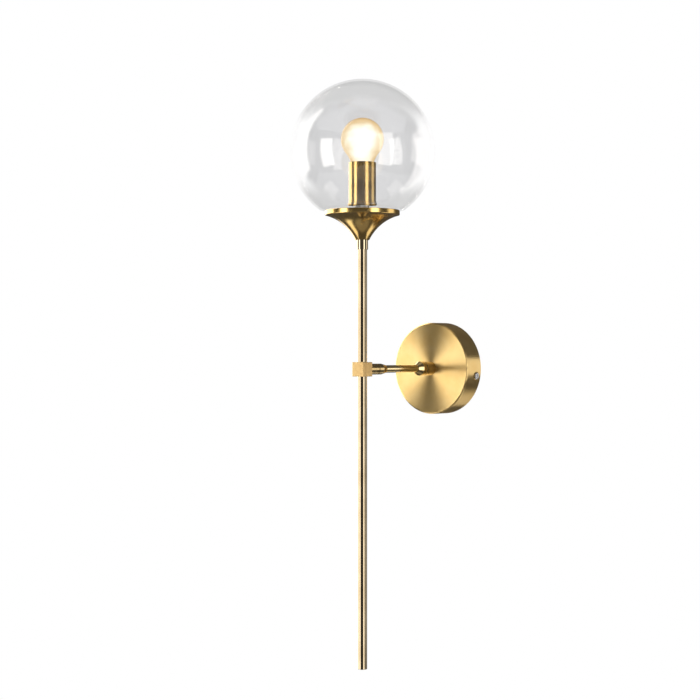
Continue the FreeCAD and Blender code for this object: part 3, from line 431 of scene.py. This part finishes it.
cover_brass, cover_tree, cover_surface = brass("brass_turned", circles, rough=(0.27, 0.29), bump=0.001,
                                              light=(1.0, 0.73, 0.32, 1), deep=(0.95, 0.66, 0.26, 1))
round_arm = add(cover_tree, "ShaderNodeTangent", direction_type="RADIAL", axis="Y").outputs[0]
cover_tree.links.new(round_arm, cover_surface.inputs["Tangent"])
cover_surface.inputs["Anisotropic"].default_value = 0.9
cover_surface.inputs["Anisotropic Rotation"].default_value = 0.25
finish_pieces(cover_brass, "wall_cover")

# %% [markdown]
# ## The cube
# The cube's faces are brushed straight up and down, and read paler and flatter than the tubes.

# %% Brushed brass of the cube
BRUSH_SCALE = 1500.0
UP_AND_DOWN = (1.0, 1.0, 0.02)


def straight_lines(tree):
    return hair_lines(tree, rod_line, UP_AND_DOWN, BRUSH_SCALE, detail=3.0)


cube_brass, _, _ = brass("brass_brushed", straight_lines, rough=(0.42, 0.52), bump=0.05,
                         light=(0.90, 0.64, 0.29, 1), deep=(0.82, 0.56, 0.24, 1))
finish_pieces(cube_brass, "cube_joint")

# %% [markdown]
# ## Plain turned brass inside
# The nut in the cup, the terminals and the contacts are bare machined brass, duller than what shows.

# %% Bare brass
bare_brass, _, _ = brass("brass_bare", rings_up, rough=(0.30, 0.42), bump=0.10,
                         light=(0.80, 0.60, 0.25, 1), deep=(0.62, 0.43, 0.16, 1))
finish_pieces(bare_brass, "cup_nut", "terminal_sleeves", "holder_centre_contact", "holder_side_contact")

# %% [markdown]
# ## Steel
# The cover screws are bright plated, and everything behind the cover is zinc plated, which has a
# blue-grey bloom in small flecks. The bulb's cap and the metal inside the bulb are a third, paler one.

# %% Steel finishes
FLECK_RELIEF = 0.05


def steel(name, light, dark, rough, fleck_scale):
    made, tree, surface, _ = new_material(name)
    fleck = noise(tree, place_in(tree), fleck_scale, 5.0)
    colour = shade_between(tree, ramp(tree, fleck, *NOISE_NARROW, 0, 1), dark, light)
    roughness = ramp(tree, fleck, *NOISE_MIDDLE, *rough)
    drive(tree, surface, colour, roughness, fleck, FLECK_RELIEF)
    surface.inputs["Metallic"].default_value = 1.0
    return made


bright_steel = steel("steel_bright", (0.86, 0.86, 0.87, 1), (0.70, 0.70, 0.72, 1), (0.14, 0.22), 700.0)
zinc = steel("steel_zinc", (0.54, 0.56, 0.58, 1), (0.40, 0.42, 0.45, 1), (0.30, 0.46), 420.0)
cap_metal = steel("cap_metal", (0.80, 0.80, 0.78, 1), (0.62, 0.62, 0.60, 1), (0.24, 0.36), 900.0)
finish_pieces(bright_steel, "cover_screws")
finish_pieces(zinc, "wall_bracket", "terminal_screws", "block_screw", "earth_screw", "earth_washer",
              "plate_nipple", "plate_washer", "plate_nut", "cup_washer", "holder_nut")
finish_pieces(cap_metal, "bulb_cap", "bulb_contact", "bulb_leads", "bulb_filament")

# %% [markdown]
# ## Clear blown glass
# The globe's wall is two millimetres of soda glass. It takes a little light away, so the white backdrop
# reads as pale grey through it, and its skin mirrors the windows. A coat does the mirroring. The glass
# under it hardly bends light: a truer bend would catch rays inside the thin wall and draw dark rings.
# Blown glass isn't optically flat, so a slow, shallow ripple bends the windows' outlines.

# %% Globe glass
GLASS_TINT = (0.90, 0.90, 0.905, 1)
GLASS_BEND = 1.06                # index of refraction under the coat
COAT_INDEX = 1.6
RIPPLE_SCALE = 16.0              # waves about 60 mm long
RIPPLE = 0.03
RIPPLE_DEPTH = 0.002

globe_glass, glass_tree, glass_surface, glass_output = new_material("globe_glass")
waves = noise(glass_tree, place_in(glass_tree), RIPPLE_SCALE, 1.0)
rippled = add(glass_tree, "ShaderNodeBump", {"Height": waves, "Strength": RIPPLE, "Distance": RIPPLE_DEPTH})
glass_tree.links.new(rippled.outputs[0], glass_surface.inputs["Normal"])
for socket, value in (("Base Color", GLASS_TINT), ("Roughness", 0.0), ("IOR", GLASS_BEND),
                      ("Transmission Weight", 1.0), ("Coat Weight", 1.0), ("Coat Roughness", 0.0),
                      ("Coat IOR", COAT_INDEX)):
    glass_surface.inputs[socket].default_value = value
print("glass index:", GLASS_BEND, "coat index:", COAT_INDEX)

# %% [markdown]
# ## The globe's outline, and the painted reflection on its sides
# In the photo the globe melts into the backdrop. Its sides are white and its top and bottom are the
# same grey as its middle. So near the outline the glass gives way to plain clearness, which has no tint
# at the level of the bulb and a grey one above and below. Layer Weight tells how near the outline is.

# %% Soft outline of the globe, white at the sides as a painted reflection
SIDES_BELOW = 0.35               # share of the radius, up or down, where the sides are still white
ENDS_ABOVE = 0.65                # and where the grey top and bottom begin
# The white sides are a painted reflection: there the glass turns fully clear and shows the white backdrop,
# in place of the bright room that glass mirrors near its outline.
SIDE_PAINTED_WHITE = 1.0
CLEAR_END = 0.90
FADE_SIDE = 0.38                 # how far round the fade starts at the sides
FADE_END = 0.24                  # and at top and bottom
FADE_WIDTH = 0.18
FADE_MOST = 0.96

from_middle = add(glass_tree, "ShaderNodeSeparateXYZ", {0: place_in(glass_tree, globe_middle)}).outputs[2]
up_or_down = maths(glass_tree, "DIVIDE", maths(glass_tree, "ABSOLUTE", from_middle), globe_radius)
clear = ramp(glass_tree, up_or_down, SIDES_BELOW, ENDS_ABOVE, SIDE_PAINTED_WHITE, CLEAR_END)
fade_from = ramp(glass_tree, up_or_down, SIDES_BELOW, ENDS_ABOVE, FADE_SIDE, FADE_END)
facing = add(glass_tree, "ShaderNodeLayerWeight", {"Blend": 0.5}).outputs["Facing"]
# Painted reflection: this share swaps the glass for clearness near the outline, white at the bulb's level
# and grey above and below.
painted_rim_reflection = ramp(glass_tree, maths(glass_tree, "SUBTRACT", facing, fade_from), 0.0, FADE_WIDTH, 0.0, FADE_MOST)
tint = add(glass_tree, "ShaderNodeCombineColor", {0: clear, 1: clear, 2: clear}).outputs[0]
bare = add(glass_tree, "ShaderNodeBsdfTransparent", {"Color": tint})
faded = add(glass_tree, "ShaderNodeMixShader", {0: painted_rim_reflection, 1: glass_surface.outputs[0], 2: bare.outputs[0]})
glass_tree.links.new(faded.outputs[0], glass_output.inputs["Surface"])
finish_pieces(globe_glass, "globe")

# %% [markdown]
# ## The lit bulb
# The bulb is on. Its white-hot middle burns out the photo, and only the rim, the crown and the neck keep
# the amber of the glass. So one number, the warmth, rises towards the outline, towards the crown and
# towards the neck, with a slow unevenness on top. It sets both the colour and the strength of the light.

# %% Warmth over the bulb
# heights are shares of the bulb's radius, from the middle of its ball
CROWN_FROM = 0.45
CROWN_WARMTH = 0.38
NECK_FROM = -0.70
NECK_FULL = -1.35
NECK_WARMTH = 0.22
UNEVEN_SCALE = 75.0
UNEVEN = (-0.08, 0.06)

bulb_glass, bulb_tree, bulb_surface, bulb_output = new_material("bulb_glass_lit")
bulb_surface.inputs["Base Color"].default_value = (1.0, 0.86, 0.66, 1)
bulb_surface.inputs["Roughness"].default_value = 0.05
bulb_surface.inputs["Transmission Weight"].default_value = 1.0

above_middle = add(bulb_tree, "ShaderNodeSeparateXYZ", {0: place_in(bulb_tree, bulb_middle)}).outputs[2]
up_share = maths(bulb_tree, "DIVIDE", above_middle, bulb_radius)
near_edge = add(bulb_tree, "ShaderNodeLayerWeight", {"Blend": 0.5}).outputs["Facing"]
near_crown = ramp(bulb_tree, up_share, CROWN_FROM, 1.0, 0.0, CROWN_WARMTH)
near_neck = ramp(bulb_tree, up_share, NECK_FULL, NECK_FROM, NECK_WARMTH, 0.0)
swirl = noise(bulb_tree, place_in(bulb_tree), UNEVEN_SCALE, 2.0)
uneven = ramp(bulb_tree, swirl, *NOISE_MIDDLE, *UNEVEN)
ends = maths(bulb_tree, "ADD", near_crown, near_neck)
warmth = maths(bulb_tree, "ADD", maths(bulb_tree, "ADD", near_edge, uneven), ends)
print("bulb radius in mm:", round(bulb_radius * 1000, 1))

# %% Light of the bulb
CORE_GLOW = 1.4
EDGE_GLOW = 1.1
CORE_TO_EDGE = (0.08, 0.60)      # the warmth at which the light starts and ends weakening
GLOW_COLOURS = [(0.00, (1.0, 0.98, 0.90, 1)), (0.14, (1.0, 0.97, 0.86, 1)), (0.36, (1.0, 0.86, 0.61, 1)),
                (0.62, (0.94, 0.70, 0.38, 1)), (1.00, (0.78, 0.52, 0.25, 1))]
RIM_SPAN = (0.45, 0.95)          # how far round the plain glass starts and is full
RIM_GLASS = 0.6                  # how much plain glass the very outline keeps

warm = add(bulb_tree, "ShaderNodeValToRGB", {0: warmth})
stops = warm.color_ramp.elements
stops[0].position, stops[0].color = GLOW_COLOURS[0]
stops[1].position, stops[1].color = GLOW_COLOURS[-1]
for position, colour in GLOW_COLOURS[1:-1]:
    stops.new(position).color = colour
strength = ramp(bulb_tree, warmth, *CORE_TO_EDGE, CORE_GLOW, EDGE_GLOW)
light = add(bulb_tree, "ShaderNodeEmission", {"Color": warm.outputs[0], "Strength": strength})
rim = ramp(bulb_tree, near_edge, *RIM_SPAN, 0.0, RIM_GLASS)
lit = add(bulb_tree, "ShaderNodeMixShader", {0: rim, 1: light.outputs[0], 2: bulb_surface.outputs[0]})
bulb_tree.links.new(lit.outputs[0], bulb_output.inputs["Surface"])
finish_pieces(bulb_glass, "bulb_glass", "bulb_stem")

# %% [markdown]
# ## Plastic, rubber and wire
# The lamp holder and the terminal block are moulded white plastic with a faint orange-peel skin. The
# gasket is milky silicone. The wires are soft insulation in the three usual colours. All are one recipe
# with another colour, gloss and grain.

# %% Moulded and soft pieces
ORANGE_PEEL = 0.08
PEEL_DEPTH = 0.0003
DARKER = 0.88                    # the darker spots, as a share of the colour
ROUGH_SPREAD = 0.12


def moulded(name, colour, rough, grain_scale):
    made, tree, surface, _ = new_material(name)
    grain = noise(tree, place_in(tree), grain_scale, 4.0)
    darker = tuple(channel * DARKER for channel in colour[:3]) + (1,)
    mixed = shade_between(tree, ramp(tree, grain, *NOISE_MIDDLE, 0, 1), darker, colour)
    roughness = ramp(tree, grain, *NOISE_WIDE, rough, rough + ROUGH_SPREAD)
    drive(tree, surface, mixed, roughness, grain, ORANGE_PEEL, PEEL_DEPTH)
    return made


finish_pieces(moulded("plastic_white", (0.84, 0.83, 0.78, 1), 0.38, 900.0), "terminal_block", "lamp_holder")
finish_pieces(moulded("silicone", (0.80, 0.80, 0.78, 1), 0.50, 500.0), "globe_gasket")
finish_pieces(moulded("insulator_black", (0.03, 0.03, 0.035, 1), 0.18, 600.0), "bulb_insulator")
finish_pieces(moulded("wire_brown", (0.20, 0.075, 0.03, 1), 0.42, 1500.0), "live_wire")
finish_pieces(moulded("wire_blue", (0.03, 0.14, 0.48, 1), 0.42, 1500.0), "neutral_wire")
finish_pieces(moulded("wire_green", (0.28, 0.50, 0.05, 1), 0.42, 1500.0), "earth_wire")
